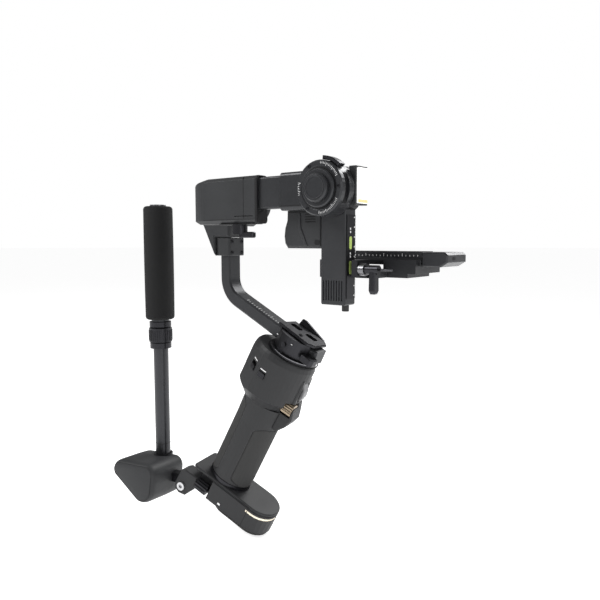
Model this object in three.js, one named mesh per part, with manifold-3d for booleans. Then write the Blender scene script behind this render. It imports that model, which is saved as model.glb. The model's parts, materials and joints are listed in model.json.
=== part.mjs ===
// Hand-held three-axis camera gimbal in its sling set-up. Millimetres, +Z up, +X where the camera looks.
// The origin is the middle of the base's underside. Four frames carry the pieces:
// the handle leans forward, the pan clamp turns about the handle's axis, the arms stand level,
// and the wrist rest stands upright behind the handle.
import * as THREE from "three";
import { mergeVertices } from "three/addons/utils/BufferGeometryUtils.js";
import Module from "manifold-3d";

const wasm = await Module();
wasm.setup();

// ---------- driving dimensions ----------

const GAP = 0.3; // clearance between pieces that touch in the real object
const HEADING = THREE.MathUtils.degToRad(12); // the handle points this far to the left of the camera
const LEAN = THREE.MathUtils.degToRad(27); // the handle's axis from the vertical

const BASE = { centre: 12, halfLength: 57, halfWidth: 23.5, foot: 3.2, top: 29.6, plateTop: 33.4 };
const GRIP = { x: -4, radius: 27, squash: 0.815, bottom: 33.8, top: 148, wall: 3.6 };
const HEAD = { x: -8, radius: 39, squash: 0.87, bottom: 148.4, top: 214, facet: 33, facetAngle: 128 };
const PAN = { stator: 24, rotor: 29, arm: 229.2 }; // arm: height at which the arm crosses the axis
const ARM = { thick: 16, wide: 20, tail: 32, rearX: -104.5, top: 117, bend: 30 };
const ROLL = { z: 161, drum: 24, rear: -139, front: -86.3, shaft: 7 };
const SHELL = { rear: -85.5, front: 18, outer: -91.5, inner: -75.5, low: 131.5, high: 178, neck: 25 };
const BAR = { from: -40, to: 62, outer: -88.4, inner: -78.1, low: 145, high: 176 };
const TILT = { x: 95, z: 161, radius: 24.7, face: -97, back: -76.4 };
const POST = { from: 82, to: 109, outer: -74.5, inner: -56.5, low: 55 };
const CARRIER = { low: 80.5, high: 97, leverY: -66, leverZ: 88.4 };
const CRADLE = { from: 122, to: 156, low: 79.5, shelfTop: 86, bedLow: 83.4, half: 27, wallInner: 22.5 };
const TRAY = { to: 148, far: 20, top: 84 };
const PLATE = { rear: 57, front: 159, nose: 185, half: 22, low: 91.6, high: 103.8 };
const PAD = { near: -41, far: 24, dip: 6, middle: 25, pivotX: -57.5, pivotZ: 23 };
const SLING = { x: -112, y: 15, foot: 32, tubeTop: 206, radius: 9.5, collar: 186.5, grip: 224, gripTop: 368 };

// ---------- finishes ----------

function finish(color, roughness, metalness) {
  return new THREE.MeshStandardMaterial({ color, roughness, metalness });
}

const FINISH = {
  shell: finish(0x2e2f31, 0.55, 0.1),
  arm: finish(0x3c3d40, 0.45, 0.6),
  dark: finish(0x18191a, 0.6, 0.2),
  rubber: finish(0x202122, 0.85, 0),
  foam: finish(0x141415, 0.95, 0),
  steel: finish(0xc9cbcd, 0.3, 1),
  trim: finish(0xd9cdb4, 0.3, 0.9),
  tube: finish(0x3a3b3e, 0.35, 0.8),
  battery: finish(0x3d6f8e, 0.5, 0),
  board: finish(0x1e4d33, 0.6, 0),
  glass: finish(0x0a0a0c, 0.1, 0),
  diffuser: finish(0xf4efe2, 0.5, 0),
  scale: finish(0x232425, 0.6, 0),
};

// ---------- solids ----------

/** A closed geometry as a manifold, turned the right way out. */
function solidOf(geometry) {
  const bare = geometry.index ? geometry.toNonIndexed() : geometry.clone();
  bare.deleteAttribute("normal");
  bare.deleteAttribute("uv");
  const merged = mergeVertices(bare, 1e-4);
  const corners = [];
  const index = merged.index.array;
  for (let i = 0; i < index.length; i += 3) {
    const [a, b, c] = [index[i], index[i + 1], index[i + 2]];
    if (a !== b && b !== c && c !== a) corners.push([a, b, c]);
  }
  const build = (triangles) =>
    new wasm.Manifold(
      new wasm.Mesh({
        numProp: 3,
        vertProperties: merged.attributes.position.array,
        triVerts: new Uint32Array(triangles.flat()),
      }),
    );
  const made = build(corners);
  if (made.volume() > 0) return made;
  return build(corners.map(([a, b, c]) => [a, c, b]));
}

/** A manifold as a geometry for a mesh. */
function geometryOf(solid) {
  const mesh = solid.getMesh();
  const geometry = new THREE.BufferGeometry();
  geometry.setAttribute("position", new THREE.BufferAttribute(new Float32Array(mesh.vertProperties), 3));
  geometry.setIndex(new THREE.BufferAttribute(new Uint32Array(mesh.triVerts), 1));
  geometry.computeVertexNormals();
  return geometry;
}

const BASIS = {
  x: new THREE.Matrix4().makeBasis(
    new THREE.Vector3(0, 1, 0),
    new THREE.Vector3(0, 0, 1),
    new THREE.Vector3(1, 0, 0),
  ),
  y: new THREE.Matrix4().makeBasis(
    new THREE.Vector3(1, 0, 0),
    new THREE.Vector3(0, 0, 1),
    new THREE.Vector3(0, -1, 0),
  ),
  z: new THREE.Matrix4(),
};

/** A flat outline pushed along an axis. Outlines along x are drawn in y and z, along y in x and z. */
function extruded(outline, axis, from, to, bevel = 0) {
  const geometry = new THREE.ExtrudeGeometry(outline, {
    depth: to - from - 2 * bevel,
    bevelEnabled: bevel > 0,
    bevelThickness: bevel,
    bevelSize: bevel,
    bevelOffset: -bevel,
    bevelSegments: 1,
    curveSegments: 6,
  });
  geometry.translate(0, 0, (axis === "y" ? -to : from) + bevel);
  geometry.applyMatrix4(BASIS[axis]);
  return solidOf(geometry);
}

/** A box from its ranges along the three axes. */
function block([x0, x1], [y0, y1], [z0, z1]) {
  const geometry = new THREE.BoxGeometry(x1 - x0, y1 - y0, z1 - z0);
  geometry.translate((x0 + x1) / 2, (y0 + y1) / 2, (z0 + z1) / 2);
  return solidOf(geometry);
}

/** A profile of [radius, height] pairs turned about an axis through the origin. */
function turned(profile, axis = "z", segments = 32) {
  const points = profile.map(([radius, height]) => new THREE.Vector2(radius, height));
  const geometry = new THREE.LatheGeometry(points, segments);
  geometry.rotateX(Math.PI / 2);
  if (axis === "x") geometry.rotateY(Math.PI / 2);
  if (axis === "y") geometry.rotateX(-Math.PI / 2);
  return solidOf(geometry);
}

/** A round rod along an axis. */
function rod(radius, axis, from, to, segments = 32) {
  return turned([[0, from], [radius, from], [radius, to], [0, to]], axis, segments);
}

/** A ring along an axis. */
function ring(inner, outer, axis, from, to, segments = 32) {
  return turned([[inner, from], [outer, from], [outer, to], [inner, to], [inner, from]], axis, segments);
}

/** A polygon outline from its corners. */
function polygon(corners) {
  return new THREE.Shape(corners.map(([a, b]) => new THREE.Vector2(a, b)));
}

/** A rectangle with rounded corners. */
function roundedRectangle([x0, x1], [y0, y1], radius) {
  const shape = new THREE.Shape();
  shape.absarc(x1 - radius, y1 - radius, radius, 0, Math.PI / 2);
  shape.absarc(x0 + radius, y1 - radius, radius, Math.PI / 2, Math.PI);
  shape.absarc(x0 + radius, y0 + radius, radius, Math.PI, 1.5 * Math.PI);
  shape.absarc(x1 - radius, y0 + radius, radius, 1.5 * Math.PI, 2 * Math.PI);
  shape.closePath();
  return shape;
}

/** A strip long in x, with a round front end and a squarer rear end. */
function stadium(x0, x1, halfWidth, rearRadius = 5) {
  const shape = new THREE.Shape();
  const rearSide = halfWidth - rearRadius;
  shape.absarc(x1 - halfWidth, 0, halfWidth, -Math.PI / 2, Math.PI / 2);
  shape.absarc(x0 + rearRadius, rearSide, rearRadius, Math.PI / 2, Math.PI);
  shape.absarc(x0 + rearRadius, -rearSide, rearRadius, Math.PI, 1.5 * Math.PI);
  shape.closePath();
  return shape;
}

/** A round outline with equal ridges. */
function fluted(radius, depth, ridges) {
  const corners = [];
  for (let i = 0; i < 2 * ridges; i++) {
    const angle = (i * Math.PI) / ridges;
    const reach = i % 2 ? radius - depth : radius;
    corners.push([reach * Math.cos(angle), reach * Math.sin(angle)]);
  }
  return polygon(corners);
}

/** Adds one named piece to a frame. */
function add(frame, name, solid, material) {
  const mesh = new THREE.Mesh(geometryOf(solid), material);
  mesh.name = name;
  frame.add(mesh);
}

// ---------- frames ----------

const group = new THREE.Group();

const handle = new THREE.Group();
handle.rotation.set(0, LEAN, HEADING, "ZYX");
handle.updateMatrix();
handle.position.set(-BASE.centre, 0, 0).applyEuler(handle.rotation);
group.add(handle);

// The arm leaves the pan axis at a right angle, in the upright plane that holds the camera's view.
const ARM_SLOPE = Math.atan(Math.tan(LEAN) * Math.cos(HEADING));
const ARM_AHEAD = new THREE.Vector3(Math.cos(ARM_SLOPE), 0, -Math.sin(ARM_SLOPE));
const handleAhead = new THREE.Vector3(1, 0, 0).applyEuler(handle.rotation);
const handleLeft = new THREE.Vector3(0, 1, 0).applyEuler(handle.rotation);

const pan = new THREE.Group();
pan.rotation.z = Math.atan2(ARM_AHEAD.dot(handleLeft), ARM_AHEAD.dot(handleAhead));
handle.add(pan);

const arms = new THREE.Group();
handle.updateMatrixWorld(true);
arms.position.set(0, 0, PAN.arm).applyMatrix4(handle.matrixWorld);
group.add(arms);

const wrist = new THREE.Group();
wrist.rotation.z = HEADING;
group.add(wrist);

// ---------- base ----------

const KNOB = { x0: -33, x1: -16, y: -20, z: 12, radius: 7, thread: 2 };

function makeBase() {
  const { halfWidth, foot, top, plateTop } = BASE;
  const front = BASE.centre + BASE.halfLength;
  const bodyRear = -34;
  const trimLow = 23.4;
  const trimHigh = 26.6;
  const trimDepth = 1.6;
  const recess = block([bodyRear - 1, KNOB.x1 + 3], [-halfWidth - 1, -12.4], [-1, top + 1]);
  const frontHalf = block([38, front + 1], [-halfWidth - 1, halfWidth + 1], [trimLow, trimHigh]);
  const groove = frontHalf.subtract(
    extruded(stadium(bodyRear, front - trimDepth - GAP, halfWidth - trimDepth - GAP), "z", 0, top),
  );
  const thread = rod(KNOB.thread + GAP, "x", KNOB.x1, KNOB.x1 + 14, 12).translate([0, KNOB.y, KNOB.z]);
  const tripodHole = rod(4.6, "z", -1, 14, 20).translate([34, 0, 0]);
  const body = extruded(stadium(bodyRear, front, halfWidth), "z", foot + GAP, top, 1.2)
    .subtract(recess)
    .subtract(groove)
    .subtract(thread)
    .subtract(tripodHole);
  add(handle, "base_body", body, FINISH.shell);

  const trim = extruded(stadium(bodyRear, front - GAP, halfWidth - GAP), "z", trimLow + GAP, trimHigh - GAP)
    .subtract(extruded(stadium(bodyRear, front - trimDepth, halfWidth - trimDepth), "z", 0, top))
    .intersect(block([38 + GAP, front], [-halfWidth, halfWidth], [0, top]));
  add(handle, "trim_ring", trim, FINISH.trim);

  const sole = extruded(stadium(-8, front - 1.5, halfWidth - 1.5, 20), "z", 0, foot, 0.8).subtract(tripodHole);
  add(handle, "base_foot", sole, FINISH.rubber);

  const rear = BASE.centre - BASE.halfLength;
  const plate = extruded(stadium(rear, front, halfWidth + 0.3), "z", top + 0.5, plateTop, 1);
  add(handle, "base_plate", plate, FINISH.shell);
}

// ---------- handle ----------

/** A body of revolution about the grip's or head's own upright axis, squashed across. */
function ovalBody(profile, { x, squash }) {
  return turned(profile, "z", 40).scale([1, squash, 1]).translate([x, 0, 0]);
}

function gripOutside(extra) {
  const radius = GRIP.radius + extra;
  return ovalBody(
    [[0, GRIP.bottom], [radius - 0.5, GRIP.bottom], [radius, 50], [radius, 118], [radius + 1, GRIP.top], [0, GRIP.top]],
    GRIP,
  );
}

function makeGrip() {
  const panelDepth = 1.3;
  const footRing = 4.5;
  const inside = ovalBody(
    [
      [0, GRIP.bottom - 1],
      [GRIP.radius - GRIP.wall, GRIP.bottom - 1],
      [GRIP.radius - GRIP.wall, GRIP.top + 1],
      [0, GRIP.top + 1],
    ],
    GRIP,
  );
  const aboveFoot = block([-60, 60], [-40, 40], [GRIP.bottom + footRing + GAP, GRIP.top]);
  const rearPanel = roundedRectangle([-19, 19], [GRIP.bottom + 7, GRIP.top - 5], 8);
  const frontPanel = roundedRectangle([-20.4, 20.4], [GRIP.bottom + 6, 122], 8);
  const skin = gripOutside(0.4).subtract(gripOutside(-panelDepth + GAP));
  const pocket = gripOutside(3).subtract(gripOutside(-panelDepth));
  const rearCut = extruded(rearPanel, "x", -60, GRIP.x);
  const frontCut = extruded(frontPanel, "x", GRIP.x, 60);
  const widen = (solid, middle) => solid.translate([0, 0, -middle]).scale([1, 1.03, 1.006]).translate([0, 0, middle]);

  const shell = gripOutside(0)
    .intersect(aboveFoot)
    .subtract(inside)
    .subtract(pocket.intersect(widen(rearCut, 92)))
    .subtract(pocket.intersect(widen(frontCut, 80)));
  add(handle, "grip_shell", shell, FINISH.shell);
  add(handle, "grip_rear_rubber", skin.intersect(rearCut), FINISH.rubber);
  add(handle, "grip_front_rubber", skin.intersect(frontCut), FINISH.rubber);

  const foot = gripOutside(0.8)
    .intersect(block([-60, 60], [-40, 40], [GRIP.bottom, GRIP.bottom + footRing]))
    .subtract(inside);
  add(handle, "grip_foot_ring", foot, FINISH.dark);
}

function makeBattery() {
  const cellRadius = 9.2;
  const cellGap = 9.8;
  const low = GRIP.bottom + 3;
  const high = 138;
  const cells = [-cellGap, cellGap].map((x) =>
    rod(cellRadius, "z", low, high, 20).translate([GRIP.x + x, 0, 0]),
  );
  const holder = block([GRIP.x - 4, GRIP.x + 4], [-8, 8], [low + 5, high - 5]);
  add(handle, "battery_pack", cells[0].add(cells[1]).add(holder), FINISH.battery);
}

const WHEEL = { x0: 19.6, x1: 32.4, y: -7, z: 158, radius: 8, pin: 1.4 };
const TRIGGER = { pivotX: 27, pivotZ: 188, half: 6 };
const SWITCH = { inner: 29.8, outer: 33.9, half: 4.6, low: 182.6, high: 188.4 };
const BUTTON = { angle: -97, inner: 30.6, outer: 35.4, half: 4.4, low: 182.4, high: 189.2 };
const STICK = { x: -44, z: 170, cap: 4.6 };

/** Turns a solid drawn with x outwards to a side of the head. */
function onHeadSide(solid, degrees) {
  return solid.rotate([0, 0, degrees]).translate([HEAD.x, 0, 0]);
}

function makeHead() {
  const { radius, bottom, top } = HEAD;
  const outside = ovalBody(
    [
      [0, bottom],
      [28, bottom],
      [31, bottom + 3.5],
      [radius, 160.5],
      [radius, 206],
      [radius - 1.4, 211],
      [radius - 3.5, top],
      [0, top],
    ],
    HEAD,
  );
  const fingerBlock = extruded(
    polygon([
      [10, 197],
      [30, 197],
      [31, 186],
      [31, 168],
      [34, 158],
      [36.5, 147],
      [33, 137],
      [25.5, 126],
      [15, 126],
    ]),
    "y",
    -12,
    12,
    1.5,
  );
  const statorBay = rod(PAN.stator + GAP + 0.2, "z", 189, top + 1, 36);
  const boardBay = block([-27, 12], [-15, 15], [bottom - 1, 185]);
  const screenBay = block([-60, -42.6], [-13.4, 13.4], [179.6, 204.4]);
  const stickBay = rod(7, "x", -60, -38, 20).translate([0, 0, STICK.z]);
  const wheelBay = block(
    [WHEEL.x0 - 0.6, WHEEL.x1 + 0.6],
    [-20, WHEEL.y + WHEEL.radius + 0.8],
    [WHEEL.z - WHEEL.radius - 0.8, WHEEL.z + WHEEL.radius + 0.8],
  );
  const wheelPins = rod(WHEEL.pin + GAP, "x", WHEEL.x0 - 2.4, WHEEL.x1 + 1.6, 12).translate([
    0,
    WHEEL.y,
    WHEEL.z,
  ]);
  const triggerBay = block([21.5, 40], [-TRIGGER.half - 0.5, TRIGGER.half + 0.5], [168.5, 193]);
  const rearFlat = block([-60, HEAD.x - 36.4], [-40, 40], [165, 208]);
  const switchBay = onHeadSide(
    block([SWITCH.inner - 0.4, 50], [-SWITCH.half - 0.8, SWITCH.half + 0.8], [SWITCH.low - 0.6, 192.4]),
    -HEAD.facetAngle,
  );
  const buttonBay = onHeadSide(
    block(
      [BUTTON.inner - 1.6, 50],
      [-BUTTON.half - GAP, BUTTON.half + GAP],
      [BUTTON.low - GAP, BUTTON.high + GAP],
    ),
    BUTTON.angle,
  );
  let shell = outside.add(fingerBlock).subtract(gripOutside(0.7));
  for (const side of [-1, 1])
    shell = shell.subtract(
      onHeadSide(block([HEAD.facet, 60], [-40, 40], [156, 207]), side * HEAD.facetAngle),
    );
  for (const cut of [statorBay, boardBay, screenBay, stickBay, wheelBay, wheelPins, triggerBay])
    shell = shell.subtract(cut);
  shell = shell.subtract(rearFlat).subtract(switchBay).subtract(buttonBay);
  add(handle, "head_shell", shell, FINISH.shell);

  const stator = ring(7.6, PAN.stator, "z", 190, top - 1, 36);
  add(handle, "pan_stator", stator, FINISH.dark);
  add(handle, "control_board", block([-24, 9], [-12, 12], [160, 162]), FINISH.board);
  add(handle, "screen", block([-44.2, -42.9], [-13, 13], [180, 204]), FINISH.glass);
}

function makeControls() {
  const trigger = extruded(
    polygon([
      [24, 191.5],
      [29.5, 192],
      [33.6, 184],
      [34.4, 177],
      [33, 171.5],
      [30, 170.8],
      [29.2, 181],
      [24, 185],
    ]),
    "y",
    -TRIGGER.half,
    TRIGGER.half,
    0.8,
  );
  add(handle, "trigger", trigger, FINISH.shell);

  const wheel = extruded(fluted(WHEEL.radius, 0.8, 18), "x", WHEEL.x0, WHEEL.x1)
    .add(rod(WHEEL.pin, "x", WHEEL.x0 - 2, WHEEL.x1 + 1.2, 12))
    .translate([0, WHEEL.y, WHEEL.z]);
  add(handle, "front_wheel", wheel, FINISH.steel);

  const slider = block([SWITCH.inner, SWITCH.outer], [-SWITCH.half, SWITCH.half], [SWITCH.low, SWITCH.high]);
  add(handle, "power_switch", onHeadSide(slider, -HEAD.facetAngle), FINISH.dark);

  const cap = extruded(
    roundedRectangle([-BUTTON.half, BUTTON.half], [BUTTON.low, BUTTON.high], 1.6),
    "x",
    BUTTON.inner,
    BUTTON.outer,
    0.5,
  );
  add(handle, "mode_button", onHeadSide(cap, BUTTON.angle), FINISH.dark);

  const stick = turned([[0, 0], [1.8, 0], [1.8, 5], [STICK.cap, 6.5], [STICK.cap - 0.8, 8], [0, 8.6]], "x", 20)
    .rotate([0, 180, 0])
    .translate([STICK.x + 5.6, 0, STICK.z]);
  add(handle, "joystick", stick, FINISH.rubber);
}

// ---------- pan motor and clamp ----------

const CLAMP = { radius: 25, floor: 218.1, top: 238, channelHalf: 11.1, channelLow: 220.1 };
const CLAMP_PLATE = { low: 238.3, high: 241.9 };
const FLIP = { x0: -22, x1: 18, y: 19.6, z: 239.8 };

function makePanClamp() {
  const rotor = rod(PAN.rotor, "z", 214.4, 217.8, 40).add(rod(6.9, "z", 192, 215, 24));
  add(pan, "pan_rotor", rotor, FINISH.dark);

  const channel = block(
    [-30, 30],
    [-CLAMP.channelHalf, CLAMP.channelHalf],
    [CLAMP.channelLow, CLAMP.top + 1],
  );
  const body = rod(CLAMP.radius, "z", CLAMP.floor, CLAMP.top, 36).subtract(channel);
  add(pan, "clamp_body", body, FINISH.dark);

  const slot = (x) =>
    extruded(roundedRectangle([x - 7.5, x + 7.5], [-4.5, 4.5], 3), "z", 230, 250).translate([0, 3, 0]);
  const plate = extruded(
    polygon([
      [-26, -15],
      [20, -18],
      [27, -12],
      [27, 12],
      [22, 17],
      [-26, 17],
    ]),
    "z",
    CLAMP_PLATE.low,
    CLAMP_PLATE.high,
    0.8,
  )
    .subtract(slot(-13))
    .subtract(slot(10));
  add(pan, "clamp_plate", plate, FINISH.arm);

  const flip = extruded(
    polygon([
      [FLIP.x0, 238],
      [FLIP.x0 + 3, 248.5],
      [FLIP.x0 + 9, 249],
      [FLIP.x1, 241.5],
      [FLIP.x1, 238],
    ]),
    "y",
    FLIP.y - 1.6,
    FLIP.y + 1.6,
    0.4,
  );
  add(pan, "clamp_flip_lever", flip, FINISH.dark);

  const screw = rod(2.8, "y", -26.8, -25.4, 12).translate([-2, 0, 227]);
  add(pan, "clamp_screw", screw, FINISH.steel);
}

// ---------- pan arm and roll motor ----------

/** The bent arm seen from the side, grown by a margin all round. */
function armOutline(margin, tail = ARM.tail, top = ARM.top) {
  const half = ARM.thick / 2 + margin;
  const ahead = new THREE.Vector2(ARM_AHEAD.x, ARM_AHEAD.z);
  const normal = new THREE.Vector2(-ahead.y, ahead.x); // up and forward, square to the lower part
  const corner = new THREE.Vector2(ARM.rearX, ARM.rearX * (ahead.y / ahead.x));
  const turn = Math.PI / 2 - ARM_SLOPE;
  const along = ARM.bend * Math.tan(turn / 2);
  const centre = new THREE.Vector2(ARM.rearX + ARM.bend, corner.y + along);
  const startAngle = Math.PI;
  const endAngle = Math.PI + turn;
  const at = (distance, side) => ahead.clone().multiplyScalar(distance).addScaledVector(normal, side * half);
  const shape = new THREE.Shape();
  shape.moveTo(ARM.rearX + half, top);
  shape.lineTo(ARM.rearX - half, top);
  shape.absarc(centre.x, centre.y, ARM.bend + half, startAngle, endAngle, false);
  const tailLow = at(tail, -1);
  const tailHigh = at(tail, 1);
  shape.lineTo(tailLow.x, tailLow.y);
  shape.lineTo(tailHigh.x, tailHigh.y);
  shape.absarc(centre.x, centre.y, ARM.bend - half, endAngle, startAngle, true);
  shape.closePath();
  return shape;
}

function rollDrum(extra) {
  return rod(ROLL.drum + extra, "x", ROLL.rear - extra, ROLL.front + extra, 40).translate([0, 0, ROLL.z]);
}

function makePanArm() {
  const half = ARM.wide / 2;
  add(arms, "pan_arm", extruded(armOutline(0), "y", -half, half, 2), FINISH.arm);

  const rear = ARM.rearX - 11;
  const front = ARM.rearX + 11;
  const clampLow = 97;
  const armSpace = block(
    [ARM.rearX - ARM.thick / 2 - GAP, ARM.rearX + ARM.thick / 2 + GAP],
    [-half - GAP, half + GAP],
    [60, ARM.top + GAP],
  );
  const clamp = extruded(roundedRectangle([rear, front], [-13.5, 13.5], 3), "z", clampLow, ARM.top + 1.6, 0.8);
  add(arms, "neck_clamp", clamp.subtract(armSpace), FINISH.shell);

  const neckFoot = rear - GAP - 0.1;
  const neck = extruded(
    polygon([
      [neckFoot, clampLow],
      [ROLL.rear + 2, 135],
      [ROLL.rear + 2, 150],
      [-92, 150],
      [-92, ARM.top + 2],
      [neckFoot, ARM.top + 2],
    ]),
    "y",
    -16,
    16,
    2,
  ).subtract(rollDrum(GAP));
  add(arms, "neck_bracket", neck, FINISH.shell);

  const bore = rod(ROLL.shaft + 0.6, "x", ROLL.front - 40, ROLL.front + 1, 24).translate([0, 0, ROLL.z]);
  add(arms, "roll_stator", rollDrum(0).subtract(bore), FINISH.shell);
}

// ---------- roll arm ----------

const BAR_LOCK = { x: -12, y: -83.5, high: 131, radius: 8 };

function makeRollShell() {
  const corner = 30;
  const { rear, front, outer, inner, low, high, neck } = SHELL;
  const outline = new THREE.Shape();
  outline.moveTo(front, outer);
  outline.lineTo(front, inner);
  outline.lineTo(rear + neck + 8, inner);
  outline.lineTo(rear + neck, inner + 8);
  outline.lineTo(rear + neck, 0);
  outline.lineTo(rear, 0);
  outline.absarc(rear + corner, outer + corner, corner, Math.PI, 1.5 * Math.PI, false);
  outline.closePath();
  const barSpace = block(
    [BAR.from - 22, front + 1],
    [BAR.outer - GAP, BAR.inner + GAP],
    [BAR.low - GAP, BAR.high + GAP],
  );
  const disc = rod(25.5, "x", rear, rear + neck, 36).translate([0, 0, ROLL.z]);
  const shaft = rod(ROLL.shaft, "x", ROLL.front - 36, rear + 1, 24).translate([0, 0, ROLL.z]);
  const seam = block([-12, 13], [outer - 1, outer + 1.1], [138, 139.6]);
  const overTop = high + 20;
  const topTaper = extruded(
    polygon([
      [rear - 4, high - 10],
      [rear + 38, high + 1],
      [rear + 38, overTop],
      [rear - 4, overTop],
    ]),
    "y",
    -95,
    40,
  );
  const lowTaper = extruded(polygon([[rear - 4, low + 9], [rear - 4, low - 8], [rear + 22, low - 1]]), "y", -95, 40);
  const lockPin = rod(3.3, "z", low - 1, low + 8, 16).translate([BAR_LOCK.x, BAR_LOCK.y, 0]);
  const shell = extruded(outline, "z", low, high, 3.5)
    .add(disc)
    .add(shaft)
    .subtract(topTaper)
    .subtract(lowTaper)
    .subtract(barSpace)
    .subtract(seam)
    .subtract(lockPin);
  add(arms, "roll_shell", shell, FINISH.shell);

  const { x, y, high: lockTop, radius } = BAR_LOCK;
  const hub = rod(radius, "z", 121, lockTop, 24).add(rod(3, "z", lockTop - 1, low + 7, 16));
  const grip = extruded(roundedRectangle([0, 20], [-4, 4], 3.5), "z", 117.5, 123.5, 1);
  add(arms, "bar_lock_lever", hub.add(grip).translate([x, y, 0]), FINISH.dark);
}

function tiltDrum(radius, from, to) {
  return rod(radius, "y", from, to, 40).translate([TILT.x, 0, TILT.z]);
}

const TILT_LOCK = { inner: 25.1, outer: 28.6, from: 0.8, to: 1.5 };

function makeRollArm() {
  const { face, back, radius, x, z } = TILT;
  const bar = extruded(roundedRectangle([BAR.outer, BAR.inner], [BAR.low, BAR.high], 2.2), "x", BAR.from, BAR.to);
  add(arms, "roll_bar", bar, FINISH.arm);

  const barSpace = block(
    [BAR.from, BAR.to + GAP],
    [BAR.outer - GAP, BAR.inner + GAP],
    [BAR.low - GAP, BAR.high + GAP],
  );
  const clamp = extruded(roundedRectangle([-91.5, back - 0.3], [142.6, 178.2], 4), "x", 46, x - radius + 6, 1)
    .subtract(barSpace)
    .subtract(tiltDrum(radius + GAP, -110, -60));
  add(arms, "bar_clamp", clamp, FINISH.shell);

  const stator = turned(
    [
      [7.6, back],
      [7.6, back - 14],
      [0, back - 14],
      [0, face - 2.2],
      [16.2, face - 2.2],
      [17.3, face - 1.2],
      [17.3, face + 0.6],
      [18.6, face + 0.6],
      [19.6, face],
      [23.4, face],
      [radius, face + 1.4],
      [radius, back],
      [7.6, back],
    ],
    "y",
    40,
  )
    .translate([x, 0, z])
    .subtract(block([x + 21, x + 30], [face + 6, face + 13], [z - 14, z + 13]));
  add(arms, "tilt_stator", stator, FINISH.shell);

  const cap = turned(
    [[0, face - 6.4], [11.4, face - 6.4], [12.8, face - 5.2], [12.8, face - 2.5], [0, face - 2.5]],
    "y",
    36,
  ).translate([x, 0, z]);
  add(arms, "tilt_cap", cap, FINISH.dark);

  const lock = new THREE.Shape();
  lock.absarc(0, 0, TILT_LOCK.outer, TILT_LOCK.from, TILT_LOCK.to, false);
  lock.absarc(0, 0, TILT_LOCK.inner, TILT_LOCK.to, TILT_LOCK.from, true);
  lock.closePath();
  add(arms, "tilt_lock_lever", extruded(lock, "y", face + 3, face + 13, 0.6).translate([x, 0, z]), FINISH.dark);
}

// ---------- tilt arm ----------

const LIGHT = { low: 146.5, high: 181, outer: -75, inner: -55, back: 113, front: 120 };

function makeTiltArm() {
  const { from, to, outer, inner, low } = POST;
  const hubRadius = 22.5;
  const hub = tiltDrum(hubRadius, outer - 1, inner).add(tiltDrum(7, TILT.back - 12, outer));
  add(arms, "tilt_rotor", hub, FINISH.dark);

  const hubSpace = tiltDrum(hubRadius + GAP, outer - 2, inner + 2);
  const ribs = 8;
  const ribGap = (to - from - 4) / ribs;
  let post = extruded(roundedRectangle([from, to], [outer, inner], 1.5), "z", low, TILT.z, 1).subtract(hubSpace);
  for (let i = 0; i < ribs; i++) {
    const x = from + 2 + (i + 0.5) * ribGap;
    post = post.subtract(block([x - 0.7, x + 0.7], [outer - 1, outer + 1.2], [low + 4, low + 23]));
  }
  add(arms, "tilt_post", post, FINISH.arm);

  const strip = block([to + GAP, to + 0.9], [outer + 2, inner - 2], [low + 6, 138]);
  add(arms, "scale_strip", strip, FINISH.scale);
  add(arms, "post_stop", rod(3.4, "z", low - 6, low - GAP, 16).translate([to - 5, outer + 9, 0]), FINISH.rubber);

  const housing = block([LIGHT.back, LIGHT.front], [LIGHT.outer, LIGHT.inner], [LIGHT.low, LIGHT.high]);
  add(arms, "light_housing", housing.subtract(hubSpace), FINISH.dark);
  const panel = extruded(
    roundedRectangle([LIGHT.outer + 1.4, LIGHT.inner - 1.4], [LIGHT.low + 1.4, LIGHT.high - 1.4], 1),
    "x",
    LIGHT.front + GAP,
    LIGHT.front + 1.5,
  );
  add(arms, "light_panel", panel, FINISH.diffuser);

  const module = extruded(
    polygon([
      [39, 144],
      [38.6, 134],
      [36, 127],
      [35, 119],
      [36, 112],
      [39.5, 107.2],
      [from - GAP - 0.1, 107.2],
      [from - GAP - 0.1, 144],
    ]),
    "y",
    outer + 2.5,
    inner + 6,
    2.5,
  ).subtract(hubSpace);
  add(arms, "rear_module", module, FINISH.shell);
}

// ---------- plate carrier and camera plate ----------

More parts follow.
